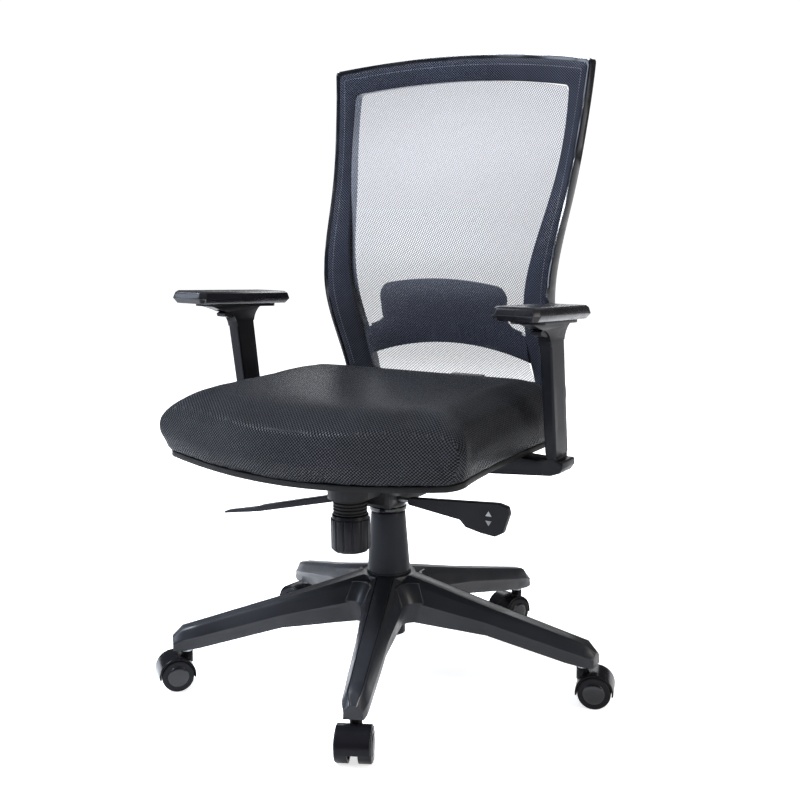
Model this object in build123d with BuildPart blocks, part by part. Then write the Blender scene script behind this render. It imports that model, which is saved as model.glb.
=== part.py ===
"""Swivel office chair with a mesh back, height-adjustable arms and a synchro-tilt mechanism.

Frame: +Z up, origin on the floor under the gas lift, the sitter faces -Y, the sitter's left is +X.
All sizes are in millimetres.
"""
import os
from math import cos, radians, sin

from build123d import *

os.makedirs("parts", exist_ok=True)

# ---------------------------------------------------------------- driving dimensions
CASTER_WHEEL_R = 25.0
CASTER_WIDTH = 52.0
CASTER_TRAIL = 19.0          # stem axis to axle
AXLE_R = 3.0
STEM_R = 5.5
FIT = 0.05                   # radial clearance of a running fit

BASE_RADIUS = 322.4          # swivel axis to a caster stem
BASE_PHASE = 23.5            # turn of the star base on the floor, in degrees
LEG_COUNT = 5
SOCKET_Z = 62.0              # underside of a leg's tip
HUB_R = 42.0
HUB_TOP_Z = 166.0

LIFT_R = 25.0                # outer tube of the gas lift
LIFT_TOP_Z = 262.0
PRESSURE_TUBE_R = 14.0

HOUSING_HALF_W = 46.0
HOUSING_BOTTOM_Z = 288.0
HOUSING_TOP_Z = 346.0
KNOB_Y = -108.0              # axis of the tension knob
TILT_Y, TILT_Z = -60.0, 338.0        # seat pivot
RECLINE_Y, RECLINE_Z = 30.0, 318.0   # back pivot

SEAT_HALF_W = 248.0
SEAT_FRONT_Y = -285.0
SEAT_CORNER_HALF_W, SEAT_CORNER_Y = 268.0, -238.0     # its front corners, before they are rounded
SEAT_REAR_Y = 185.0
SEAT_BOTTOM_Z = 384.0        # underside of the cushion
PAN_T = 8.0

ARM_X, ARM_Y, ARM_Z = 279.5, 23.5, 370.0     # foot of an arm post
ARM_SPLAY, ARM_LEAN = 0.5, 7.9               # outward and forward lean, in degrees
POST_T, POST_L = 12.0, 34.0
SLEEVE_T, SLEEVE_L = 18.0, 43.0
SLEEVE_FOOT = 10.0           # along the post, from its foot
PAD_X, PAD_Y, PAD_Z = 278.0, -26.0, 584.0    # middle of a pad's underside
PAD_W, PAD_L, PAD_T = 73.0, 216.0, 20.0
PAD_TOE, PAD_TILT = 4.0, 4.4

BACK_T = 22.0                # front to back thickness of the back frame
CARRIER_T = 6.0              # thickness of the mesh carrier let into its front
RIM = 7.0                    # rim of the frame left bare around the carrier

LEG_ANGLES = [BASE_PHASE - 90.0 + 360.0 / LEG_COUNT * i for i in range(LEG_COUNT)]
CASTER_NAMES = ["front", "right", "rear_right", "rear_left", "left"]
CASTER_HEADINGS = [-65.0, 19.5, 249.0, 175.0, 230.0]     # the way each caster trails
SIDES = {"left": 1, "right": -1}                         # the sitter's left is +X


def finish(piece, label):
    """Name a finished piece and write it to its own file."""
    piece.label = label
    export_step(piece, f"parts/{label}.step")


def heading_plane(x, y, z, angle):
    """Upright plane through a point: its X runs along the heading, its Y runs up."""
    a = radians(angle)
    return Plane(origin=(x, y, z), x_dir=(cos(a), sin(a), 0), z_dir=(sin(a), -cos(a), 0))


# ---------------------------------------------------------------- star base
# Each station: distance along the leg, ridge height, spine half-width, shoulder half-width and
# drop, crease half-width and height, foot half-width and height.
LEG_STATIONS = [
    (20.0, 172.0, 12.0, 24.0, 8.0, 35.0, 136.0, 30.0, 98.0),
    (175.0, 132.0, 10.5, 17.0, 5.5, 24.5, 112.0, 20.5, 90.0),
    (302.0, 102.0, 8.8, 13.5, 4.5, 20.0, 85.0, 17.5, SOCKET_Z + 3.0),
    (328.0, 96.0, 8.5, 13.0, 4.0, 19.0, 80.0, 17.0, SOCKET_Z),
    (344.0, 82.0, 3.0, 7.0, 1.5, 14.0, 74.0, 14.5, SOCKET_Z),
]
GROOVE_W, GROOVE_D = 1.6, 1.6
LEG_WALL = 4.0
RIB_T = 3.0


def leg_plane(angle, distance):
    """Plane across a leg: its X runs sideways, its Y runs up."""
    a = radians(angle)
    return Plane(
        origin=(distance * cos(a), distance * sin(a), 0),
        x_dir=(-sin(a), cos(a), 0),
        z_dir=(cos(a), sin(a), 0),
    )


def leg_outline(station):
    """Right half of a leg's cross-section, from the top of the spine down to the foot."""
    _, top, spine, shoulder, drop, crease, crease_z, foot, bottom = station
    return [
        (spine, top),
        (spine + 0.5 * GROOVE_W, top - GROOVE_D),
        (spine + 1.5 * GROOVE_W, top - 0.3 * GROOVE_D),
        (shoulder, top - drop),
        (crease, crease_z),
        (crease - 1.2, crease_z - 2.0),
        (foot, bottom),
    ]


def leg_hollow(station, wall, foot_gap):
    """Right half of the channel under a leg, or of a rib that crosses it."""
    _, top, spine, _, drop, crease, crease_z, foot, bottom = station
    return [
        (spine, top - drop - wall),
        (crease - 1.3 * wall, crease_z - 2.0),
        (foot - wall, bottom + foot_gap),
    ]


def mirrored(points):
    """Close a half outline with its mirror image."""
    return points + [(-x, y) for x, y in reversed(points)]


def between(first, second, share):
    """Station between two stations."""
    return tuple(a + (b - a) * share for a, b in zip(first, second))


# Rounding between neighbouring legs. Each level: height, distance from the swivel axis to the
# corner the two legs make, and the radius at which the rounding runs out on their sides.
ROUNDING_R = 24.0
ROUNDING_LEVELS = [(97.0, 48.9, 73.8), (131.0, 56.6, 80.7), (158.0, 40.0, 65.0)]
CHANNEL = [between(*LEG_STATIONS[:2], 0.26), LEG_STATIONS[1], between(*LEG_STATIONS[1:3], 0.9)]
RIBS = [between(*LEG_STATIONS[:2], s) for s in (0.5, 0.75)]
RIBS += [between(*LEG_STATIONS[1:3], s) for s in (0.05, 0.35, 0.65)]

with BuildPart() as star_base:
    for leg_angle in LEG_ANGLES:
        for leg_station in LEG_STATIONS:
            with BuildSketch(leg_plane(leg_angle, leg_station[0])):
                Polygon(*mirrored(leg_outline(leg_station)), align=None)
        loft(ruled=True)
    with BuildSketch(Plane.XY.offset(96.0)):
        Circle(HUB_R)
    extrude(amount=HUB_TOP_Z - 96.0)
    for level_z, corner_r, reach_r in ROUNDING_LEVELS:
        with BuildSketch(Plane.XY.offset(level_z)):
            Circle(reach_r)
            with PolarLocations(
                corner_r + 1.56 * ROUNDING_R, LEG_COUNT, start_angle=LEG_ANGLES[0] + 36.0
            ):
                Circle(ROUNDING_R, mode=Mode.SUBTRACT)
    loft(ruled=True)
    for leg_angle in LEG_ANGLES:
        for leg_station in CHANNEL:
            with BuildSketch(leg_plane(leg_angle, leg_station[0])):
                Polygon(*mirrored(leg_hollow(leg_station, LEG_WALL, -1.0)), align=None)
        loft(ruled=True, mode=Mode.SUBTRACT)
        for leg_station in RIBS:
            with BuildSketch(leg_plane(leg_angle, leg_station[0])):
                Polygon(*mirrored(leg_hollow(leg_station, 0.5 * LEG_WALL, 3.0)), align=None)
            extrude(amount=RIB_T)
    with BuildSketch(Plane.XY.offset(80.0)):
        Circle(HUB_R - 4.0)
        Circle(LIFT_R + 5.0, mode=Mode.SUBTRACT)
    extrude(amount=60.0, mode=Mode.SUBTRACT)
    with BuildSketch(Plane.XY.offset(HUB_TOP_Z)):
        Circle(80.0)
    extrude(amount=20.0, mode=Mode.SUBTRACT)
    with BuildSketch(Plane.XY.offset(80.0)):
        Circle(LIFT_R + FIT)
    extrude(amount=100.0, mode=Mode.SUBTRACT)
    with BuildSketch(Plane.XY.offset(SOCKET_Z)):
        with PolarLocations(BASE_RADIUS, LEG_COUNT, start_angle=LEG_ANGLES[0]):
            Circle(STEM_R + FIT)
    extrude(amount=26.0, mode=Mode.SUBTRACT)
finish(star_base.part, "star_base")

# ---------------------------------------------------------------- casters
WEB_T = 14.0                 # middle of the hood, between the two wheels
HOOD_INNER_R = CASTER_WHEEL_R + 1.0
HOOD_R = CASTER_WHEEL_R + 3.6
HOOD_TOP_Z = 57.0
STEM_FOOT_Z = 34.0
WHEEL_GAP = 0.4
WHEEL_W = (CASTER_WIDTH - WEB_T) / 2 - WHEEL_GAP

for name, leg_angle, heading in zip(CASTER_NAMES, LEG_ANGLES, CASTER_HEADINGS):
    stem_x = BASE_RADIUS * cos(radians(leg_angle))
    stem_y = BASE_RADIUS * sin(radians(leg_angle))
    axle_x = stem_x + CASTER_TRAIL * cos(radians(heading))
    axle_y = stem_y + CASTER_TRAIL * sin(radians(heading))
    axle_plane = heading_plane(axle_x, axle_y, CASTER_WHEEL_R, heading)

    with BuildPart() as caster_hood:
        with BuildSketch(axle_plane):
            Circle(HOOD_R)
            with Locations((0, -HOOD_R - 4.0)):
                Rectangle(2.5 * HOOD_R, 2 * HOOD_R, mode=Mode.SUBTRACT)
        extrude(amount=CASTER_WIDTH / 2 - 1.0, both=True)
        fender = caster_hood.edges().filter_by(GeomType.CIRCLE).sort_by(SortBy.LENGTH)[-2:]
        fillet(fender, radius=2.0)
        with BuildSketch(Plane(origin=(stem_x, stem_y, HOOD_TOP_Z), z_dir=(0, 0, -1))):
            Circle(9.0)
        extrude(amount=18.0)
        with BuildSketch(axle_plane.offset(WEB_T / 2)):
            Circle(HOOD_INNER_R)
        extrude(amount=CASTER_WIDTH, mode=Mode.SUBTRACT)
        with BuildSketch(axle_plane.offset(-WEB_T / 2)):
            Circle(HOOD_INNER_R)
        extrude(amount=-CASTER_WIDTH, mode=Mode.SUBTRACT)
        with BuildSketch(axle_plane):
            Circle(10.0)
        extrude(amount=WEB_T / 2, both=True)
        with BuildSketch(axle_plane):
            Circle(AXLE_R)
        extrude(amount=WEB_T, both=True, mode=Mode.SUBTRACT)
        with BuildSketch(Plane(origin=(stem_x, stem_y, STEM_FOOT_Z))):
            Circle(STEM_R)
        extrude(amount=40.0, mode=Mode.SUBTRACT)
    finish(caster_hood.part, f"caster_hood_{name}")

    with BuildPart() as caster_pins:
        with BuildSketch(Plane(origin=(stem_x, stem_y, STEM_FOOT_Z))):
            Circle(STEM_R)
        extrude(amount=SOCKET_Z + 23.0 - STEM_FOOT_Z)
        chamfer(caster_pins.edges().sort_by(Axis.Z)[-1], length=1.2)
        with BuildSketch(Plane(origin=(stem_x, stem_y, HOOD_TOP_Z))):
            Circle(8.0)
        extrude(amount=SOCKET_Z - 0.4 - HOOD_TOP_Z)
        with BuildSketch(axle_plane):
            Circle(AXLE_R)
        extrude(amount=WEB_T / 2 + WHEEL_W - 4.0, both=True)
    finish(caster_pins.part, f"caster_pins_{name}")

    for side, way in (("a", 1), ("b", -1)):
        with BuildPart() as caster_wheel:
            with BuildSketch(axle_plane.offset(way * (WEB_T / 2 + WHEEL_GAP))):
                Circle(CASTER_WHEEL_R)
            extrude(amount=way * WHEEL_W)
            outer = caster_wheel.faces().sort_by(Axis(axle_plane.origin, axle_plane.z_dir))
            rims = (outer[-1] if way > 0 else outer[0]).edges()
            fillet(rims, radius=3.0)
            with BuildSketch(axle_plane.offset(way * (WEB_T / 2 + WHEEL_GAP))):
                Circle(CASTER_WHEEL_R - 4.0)
                Circle(7.0, mode=Mode.SUBTRACT)
            extrude(amount=way * (WHEEL_W - 5.0), mode=Mode.SUBTRACT)
            with BuildSketch(axle_plane.offset(way * (WEB_T / 2 + WHEEL_GAP))):
                Circle(AXLE_R + FIT)
            extrude(amount=way * (WHEEL_W - 3.0), mode=Mode.SUBTRACT)
        finish(caster_wheel.part, f"caster_wheel_{name}_{side}")

# ---------------------------------------------------------------- gas lift
with BuildPart() as gas_cylinder:
    with BuildSketch(Plane.XZ):
        Polygon(
            (0, 66), (LIFT_R, 66), (LIFT_R, LIFT_TOP_Z), (PRESSURE_TUBE_R + FIT, LIFT_TOP_Z),
            (PRESSURE_TUBE_R + FIT, LIFT_TOP_Z - 30), (LIFT_R - 3, LIFT_TOP_Z - 34),
            (LIFT_R - 3, 70), (0, 70), align=None,
        )
    revolve(axis=Axis.Z)
    with BuildSketch(Plane.XY.offset(60.0)):
        Circle(5.0 + FIT)
    extrude(amount=20.0, mode=Mode.SUBTRACT)
    chamfer(gas_cylinder.edges().filter_by(GeomType.CIRCLE).group_by(Axis.Z)[-1][-1], length=1.0)
finish(gas_cylinder.part, "gas_cylinder")

COVER_TOP_R, COVER_FOOT_R = 27.0, 34.0
with BuildPart() as dust_cover:
    with BuildSketch(Plane.XZ):
        Polygon(
            (COVER_FOOT_R - 2.0, HUB_TOP_Z), (COVER_FOOT_R + 1.0, HUB_TOP_Z),
            (COVER_FOOT_R + 1.0, HUB_TOP_Z + 3.0), (COVER_FOOT_R - 0.2, HUB_TOP_Z + 4.0),
            (COVER_TOP_R, LIFT_TOP_Z + 3.0), (COVER_TOP_R - 6.0, LIFT_TOP_Z + 3.0),
            (COVER_TOP_R - 6.0, LIFT_TOP_Z + 0.6), (LIFT_R + 0.6, LIFT_TOP_Z + 0.6),
            (LIFT_R + 0.6, LIFT_TOP_Z - 4.0), align=None,
        )
    revolve(axis=Axis.Z)
    fillet(dust_cover.edges().filter_by(GeomType.CIRCLE).group_by(Axis.Z)[-1][-1], radius=1.0)
finish(dust_cover.part, "dust_cover")

with BuildPart() as piston_rod:
    with BuildSketch(Plane.XZ):
        Polygon(
            (0, 60), (5, 60), (5, 76.2), (8, 76.2), (8, 79), (5, 79), (5, 242), (10.9, 242),
            (10.9, 250), (0, 250), align=None,
        )
    revolve(axis=Axis.Z)
finish(piston_rod.part, "piston_rod")

with BuildPart() as rod_clip:
    with BuildSketch(Plane.XY.offset(62.5)):
        Circle(11.0)
        Circle(5.0, mode=Mode.SUBTRACT)
        with Locations((0, -9.0)):
            Rectangle(4.0, 9.0, mode=Mode.SUBTRACT)
    extrude(amount=2.5)
finish(rod_clip.part, "rod_clip")

with BuildPart() as thrust_bearing:
    for race_z in (70.1, 74.2):
        with BuildSketch(Plane.XY.offset(race_z)):
            Circle(13.0)
            Circle(5.2, mode=Mode.SUBTRACT)
        extrude(amount=2.0)
    with BuildSketch(Plane.XY.offset(72.1)):
        Circle(10.5)
        Circle(7.5, mode=Mode.SUBTRACT)
    extrude(amount=2.1)
finish(thrust_bearing.part, "thrust_bearing")

with BuildPart() as pressure_tube:
    with BuildSketch(Plane.XZ):
        Polygon(
            (5.0 + FIT, 82), (PRESSURE_TUBE_R, 82), (PRESSURE_TUBE_R, 312), (3.1, 312), (3.1, 295),
            (0, 295), (0, 290), (11, 290), (11, 96), (5.0 + FIT, 96), align=None,
        )
    revolve(axis=Axis.Z)
finish(pressure_tube.part, "pressure_tube")

with BuildPart() as valve_pin:
    with BuildSketch(Plane.XY.offset(299.0)):
        Circle(3.0)
    extrude(amount=17.0)
    fillet(valve_pin.edges().sort_by(Axis.Z)[-1], radius=1.0)
finish(valve_pin.part, "valve_pin")

with BuildPart() as column_collar:
    with BuildSketch(Plane.XZ):
        Polygon(
            (PRESSURE_TUBE_R, LIFT_TOP_Z + 5), (28.0, LIFT_TOP_Z + 5), (29.5, LIFT_TOP_Z + 7),
            (29.5, LIFT_TOP_Z + 12), (28.0, LIFT_TOP_Z + 13), (28.0, LIFT_TOP_Z + 16),
            (29.5, LIFT_TOP_Z + 17), (29.5, 281), (PRESSURE_TUBE_R, 281), align=None,
        )
    revolve(axis=Axis.Z)
finish(column_collar.part, "column_collar")

# ---------------------------------------------------------------- mechanism
HOUSING_WALL = 3.0
FRONT_BAY_HALF_W = 34.0
FRONT_BAY_Z = 310.0
TILT_PIN_R, RECLINE_PIN_R = 5.0, 6.0
EAR_GAP, EAR_T = 1.0, 4.0
EAR_OUT = HOUSING_HALF_W + EAR_GAP + EAR_T
BUSH_R = 22.0
LEVER_PIVOT_X = 44.0
LEVER_ROD_R = 3.5
HEIGHT_LEVER_Y, HEIGHT_LEVER_Z = -42.0, 298.0
LOCK_LEVER_Y, LOCK_LEVER_Z = -62.0, 295.5

with BuildPart() as mechanism_housing:
    with BuildSketch(Plane.YZ):
        Polygon(
            (-76, HOUSING_BOTTOM_Z + 6), (-70, HOUSING_BOTTOM_Z), (66, HOUSING_BOTTOM_Z),
            (75, HOUSING_BOTTOM_Z + 9), (75, HOUSING_TOP_Z - 24), (-20, HOUSING_TOP_Z),
            (-76, HOUSING_TOP_Z), align=None,
        )
    extrude(amount=HOUSING_HALF_W, both=True)
    fillet(mechanism_housing.edges().filter_by(Axis.Z), radius=6.0)
    with BuildSketch(Plane.XY.offset(FRONT_BAY_Z)):
        with Locations((0, (KNOB_Y - 76.0) / 2)):
            Rectangle(2 * FRONT_BAY_HALF_W, -KNOB_Y - 70.0)
        with Locations((0, KNOB_Y)):
            Circle(FRONT_BAY_HALF_W)
    extrude(amount=HOUSING_TOP_Z - FRONT_BAY_Z)
    with BuildSketch(Plane.XY.offset(HOUSING_BOTTOM_Z + HOUSING_WALL)):
        with Locations((0, -0.5)):
            RectangleRounded(2 * (HOUSING_HALF_W - HOUSING_WALL), 145.0, 4.0)
    extrude(amount=80.0, mode=Mode.SUBTRACT)
    with BuildSketch(Plane.XY.offset(FRONT_BAY_Z + HOUSING_WALL)):
        with Locations((0, KNOB_Y)):
            Circle(FRONT_BAY_HALF_W - HOUSING_WALL)
    extrude(amount=80.0, mode=Mode.SUBTRACT)
    with BuildSketch(Plane.XY.offset(281.0)):
        Circle(30.0)
    extrude(amount=HOUSING_BOTTOM_Z + HOUSING_WALL - 281.0)
    with BuildSketch(Plane.XY.offset(HOUSING_BOTTOM_Z)):
        Circle(BUSH_R)
    extrude(amount=24.0)
    with BuildSketch(Plane.XY.offset(270.0)):
        Circle(PRESSURE_TUBE_R)
    extrude(amount=60.0, mode=Mode.SUBTRACT)
    with BuildSketch(Plane.XY.offset(FRONT_BAY_Z)):
        with Locations((0, KNOB_Y)):
            Circle(6.0 + FIT)
    extrude(amount=10.0, mode=Mode.SUBTRACT)
    with BuildSketch(Plane.YZ):
        with Locations((TILT_Y, TILT_Z)):
            Circle(TILT_PIN_R)
        with Locations((RECLINE_Y, RECLINE_Z)):
            Circle(RECLINE_PIN_R)
    extrude(amount=HOUSING_HALF_W + 5.0, both=True, mode=Mode.SUBTRACT)
    with BuildSketch(Plane.YZ.offset(HOUSING_HALF_W - 10.0)):
        with Locations((HEIGHT_LEVER_Y, HEIGHT_LEVER_Z)):
            Circle(LEVER_ROD_R + 1.5)
    extrude(amount=20.0, mode=Mode.SUBTRACT)
    with BuildSketch(Plane.YZ.offset(10.0 - HOUSING_HALF_W)):
        with Locations((LOCK_LEVER_Y, LOCK_LEVER_Z)):
            Circle(LEVER_ROD_R + 1.5)
    extrude(amount=-20.0, mode=Mode.SUBTRACT)
finish(mechanism_housing.part, "mechanism_housing")

with BuildPart() as tilt_pin:
    with BuildSketch(Plane.YZ.offset(-EAR_OUT - 1.0)):
        with Locations((TILT_Y, TILT_Z)):
            Circle(TILT_PIN_R)
    extrude(amount=2 * EAR_OUT + 2.0)
finish(tilt_pin.part, "tilt_pin")

with BuildPart() as recline_pin:
    with BuildSketch(Plane.YZ.offset(-EAR_OUT - 3.0)):
        with Locations((RECLINE_Y, RECLINE_Z)):
            Circle(RECLINE_PIN_R)
    extrude(amount=2 * EAR_OUT + 6.0)
finish(recline_pin.part, "recline_pin")

KNOB_R, KNOB_FOOT_Z, KNOB_TOP_Z = 30.0, 228.0, 284.0
FLUTES = 14
BOLT_R = 6.0
with BuildPart() as tension_knob:
    with BuildSketch(Plane.XY.offset(KNOB_FOOT_Z + 4.0)):
        with Locations((0, KNOB_Y)):
            Circle(KNOB_R)
            with PolarLocations(KNOB_R + 0.6, FLUTES):
                Circle(1.8, mode=Mode.SUBTRACT)
    extrude(amount=46.0)
    with BuildSketch(Plane.XY.offset(KNOB_FOOT_Z)):
        with Locations((0, KNOB_Y)):
            Circle(KNOB_R - 4.0)
    with BuildSketch(Plane.XY.offset(KNOB_FOOT_Z + 4.0)):
        with Locations((0, KNOB_Y)):
            Circle(KNOB_R - 1.3)
    loft()
    with BuildSketch(Plane.XY.offset(KNOB_FOOT_Z + 50.0)):
        with Locations((0, KNOB_Y)):
            Circle(KNOB_R - 2.0)
    extrude(amount=KNOB_TOP_Z - KNOB_FOOT_Z - 50.0)
    with BuildSketch(Plane.XY.offset(KNOB_FOOT_Z + 20.0)):
        with Locations((0, KNOB_Y)):
            Circle(BOLT_R)
    extrude(amount=60.0, mode=Mode.SUBTRACT)
finish(tension_knob.part, "tension_knob")

with BuildPart() as tension_bolt:
    with BuildSketch(Plane.XY.offset(KNOB_FOOT_Z + 20.0)):
        with Locations((0, KNOB_Y)):
            Circle(BOLT_R)
    extrude(amount=340.0 - KNOB_FOOT_Z - 20.0)
    with BuildSketch(Plane.XY.offset(336.0)):
        with Locations((0, KNOB_Y)):
            Circle(22.0)
    extrude(amount=4.0)
finish(tension_bolt.part, "tension_bolt")

BOOT_R, BOOT_RINGS = 26.0, 5
BOOT_PITCH = (FRONT_BAY_Z - KNOB_TOP_Z - 0.5) / BOOT_RINGS
with BuildPart() as tension_boot:
    with BuildSketch(Plane.XY.offset(KNOB_TOP_Z + 0.5)):
        with Locations((0, KNOB_Y)):
            Circle(BOOT_R - 2.0)
    extrude(amount=FRONT_BAY_Z - KNOB_TOP_Z - 0.5)
    for ring in range(BOOT_RINGS):
        with BuildSketch(Plane.XY.offset(KNOB_TOP_Z + 0.5 + (ring + 0.2) * BOOT_PITCH)):
            with Locations((0, KNOB_Y)):
                Circle(BOOT_R)
        extrude(amount=0.55 * BOOT_PITCH)
    with BuildSketch(Plane.XY.offset(KNOB_TOP_Z)):
        with Locations((0, KNOB_Y)):
            Circle(BOLT_R + 0.4)
    extrude(amount=40.0, mode=Mode.SUBTRACT)
finish(tension_boot.part, "tension_boot")

SPRING_R, SPRING_WIRE_R = 15.0, 2.0
with BuildPart() as tension_spring:
    with BuildLine():
        coil = Helix(
            pitch=5.5, height=17.0, radius=SPRING_R,
            center=(0, KNOB_Y, FRONT_BAY_Z + HOUSING_WALL + SPRING_WIRE_R + 0.3),
        )
    with BuildSketch(Plane(origin=coil @ 0, z_dir=coil % 0)):
        Circle(SPRING_WIRE_R)
    sweep()
finish(tension_spring.part, "tension_spring")

# ---------------------------------------------------------------- levers
PADDLE_T = 10.0
with BuildPart() as height_lever:
    with BuildSketch(Plane.YZ.offset(LEVER_PIVOT_X - 5.0)):
        with Locations((HEIGHT_LEVER_Y, HEIGHT_LEVER_Z)):
            Circle(LEVER_ROD_R)
    extrude(amount=75.0)
    with BuildSketch(Plane.XY.offset(HEIGHT_LEVER_Z - 3.5)):
        with Locations((37.0, HEIGHT_LEVER_Y)):
            Rectangle(6.0, 8.0)
    extrude(amount=320.0 - HEIGHT_LEVER_Z + 3.5)
    with BuildSketch(Plane.XY.offset(317.0)):
        with Locations((37.0, HEIGHT_LEVER_Y / 2)):
            Rectangle(6.0, 8.0 - HEIGHT_LEVER_Y)
        with Locations((17.0, 0)):
            Rectangle(46.0, 10.0)
    extrude(amount=3.0)
finish(height_lever.part, "height_lever")

with BuildPart() as height_paddle:
    with BuildSketch(Plane.XZ.offset(-HEIGHT_LEVER_Y)):
        with BuildLine():
            Polyline(
                (64, 303), (218, 313), (234, 309), (236, 298), (226, 269), (213, 262),
                (192, 264), (164, 270), (154, 280), (64, 292), close=True,
            )
        make_face()
        fillet(vertices(), radius=4.0)
    extrude(amount=PADDLE_T / 2, both=True)
    flat_faces = height_paddle.faces().filter_by(Axis.Y)
    fillet(flat_faces.edges(), radius=1.5)
    with BuildSketch(Plane.YZ.offset(60.0)):
        with Locations((HEIGHT_LEVER_Y, HEIGHT_LEVER_Z)):
            Circle(LEVER_ROD_R)
    extrude(amount=LEVER_PIVOT_X + 70.0 - 60.0, mode=Mode.SUBTRACT)
finish(height_paddle.part, "height_paddle")

LOCK_SLOPE = 14.0
LOCK_WAY = (-cos(radians(LOCK_SLOPE)), 0, -sin(radians(LOCK_SLOPE)))
with BuildPart() as lock_lever:
    with BuildSketch(
        Plane(origin=(5.0 - LEVER_PIVOT_X, LOCK_LEVER_Y, LOCK_LEVER_Z + 1.2), z_dir=LOCK_WAY)
    ):
        Circle(LEVER_ROD_R)
    extrude(amount=90.0)
finish(lock_lever.part, "lock_lever")

with BuildPart() as lock_grip:
    with BuildSketch(Plane.XZ.offset(-LOCK_LEVER_Y)):
        Polygon(
            (-60, 297), (-203, 262), (-212, 258), (-274, 244.5), (-274, 241), (-206, 252),
            (-60, 286), align=None,
        )
    extrude(amount=9.0, both=True)
    chamfer(lock_grip.edges().filter_by(GeomType.LINE).filter_by(Axis.Y, reverse=True), length=1.2)
    with BuildSketch(
        Plane(origin=(5.0 - LEVER_PIVOT_X, LOCK_LEVER_Y, LOCK_LEVER_Z + 1.2), z_dir=LOCK_WAY)
    ):
        Circle(LEVER_ROD_R)
    extrude(amount=90.0, mode=Mode.SUBTRACT)
finish(lock_grip.part, "lock_grip")

# ---------------------------------------------------------------- seat
PLATE_Z, PLATE_T = 356.0, 4.0
PLATE_HALF_W, PLATE_FRONT_Y, PLATE_REAR_Y = 85.0, -130.0, 90.0
PAN_Z = SEAT_BOTTOM_Z - PAN_T
SEAT_BOLTS = [(sx * 70.0, y) for sx in (-1, 1) for y in (-110.0, 70.0)]
ARM_BOLTS = [(x, ARM_Y + dy) for x in (124.0, 160.0) for dy in (-11.0, 11.0)]
SEAT_CROWN_Z = 475.0

with BuildPart() as seat_plate:
    with BuildSketch(Plane.XY.offset(PLATE_Z)):
        with Locations((0, (PLATE_FRONT_Y + PLATE_REAR_Y) / 2)):
            RectangleRounded(2 * PLATE_HALF_W, PLATE_REAR_Y - PLATE_FRONT_Y, 15.0)
    extrude(amount=PLATE_T)
    for way in (-1, 1):
        with BuildSketch(Plane.YZ.offset(way * (HOUSING_HALF_W + EAR_GAP))):
            with Locations((TILT_Y, TILT_Z)):
                Circle(11.0)
            with Locations((TILT_Y, (TILT_Z + PLATE_Z) / 2 + 1.0)):
                Rectangle(22.0, PLATE_Z - TILT_Z + 2.0)
        extrude(amount=way * EAR_T)
    with BuildSketch(Plane.YZ.offset(-100.0)):
        with Locations((TILT_Y, TILT_Z)):
            Circle(TILT_PIN_R + FIT)
    extrude(amount=200.0, mode=Mode.SUBTRACT)
    with BuildSketch(Plane.XY.offset(PLATE_Z)):
        with Locations(*SEAT_BOLTS):
            Circle(3.2)
    extrude(amount=PLATE_T, mode=Mode.SUBTRACT)
finish(seat_plate.part, "seat_plate")


def seat_outline(inset, z):
    """Plan of the seat at a height, drawn in from its edge; the front corners flare outwards."""
    half_w = SEAT_HALF_W - inset
    rear_y = SEAT_REAR_Y - inset
    corner_w = SEAT_CORNER_HALF_W - inset
    corner_y = SEAT_CORNER_Y + inset
    with BuildSketch(Plane.XY.offset(z)) as outline:
        with BuildLine():
            front = ThreePointArc((-corner_w, corner_y), (0, SEAT_FRONT_Y + inset), (corner_w, corner_y))
            right = Spline(front @ 1, (half_w + 6.0, -120.0), (half_w + 1.0, -20.0), (half_w, rear_y))
            rear = Line(right @ 1, (-half_w, rear_y))
            Spline(rear @ 1, (-half_w - 1.0, -20.0), (-half_w - 6.0, -120.0), front @ 0)
        make_face()
        rear_corners = outline.vertices().group_by(Axis.Y)[-1]
        fillet(rear_corners, radius=72.0 - 0.5 * inset)
        front_corners = outline.vertices().group_by(Axis.Y)[0]
        fillet(front_corners, radius=24.0 + 0.4 * inset)
    return outline.sketch


pan_outline = seat_outline(12.0, 300.0)
CUSHION_SECTIONS = [
    (8.0, 330.0), (2.0, 395.0), (0.0, 422.0), (7.0, 448.0), (22.0, 465.0), (70.0, 482.0),
]
cushion_sections = [seat_outline(inset, z) for inset, z in CUSHION_SECTIONS]

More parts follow.
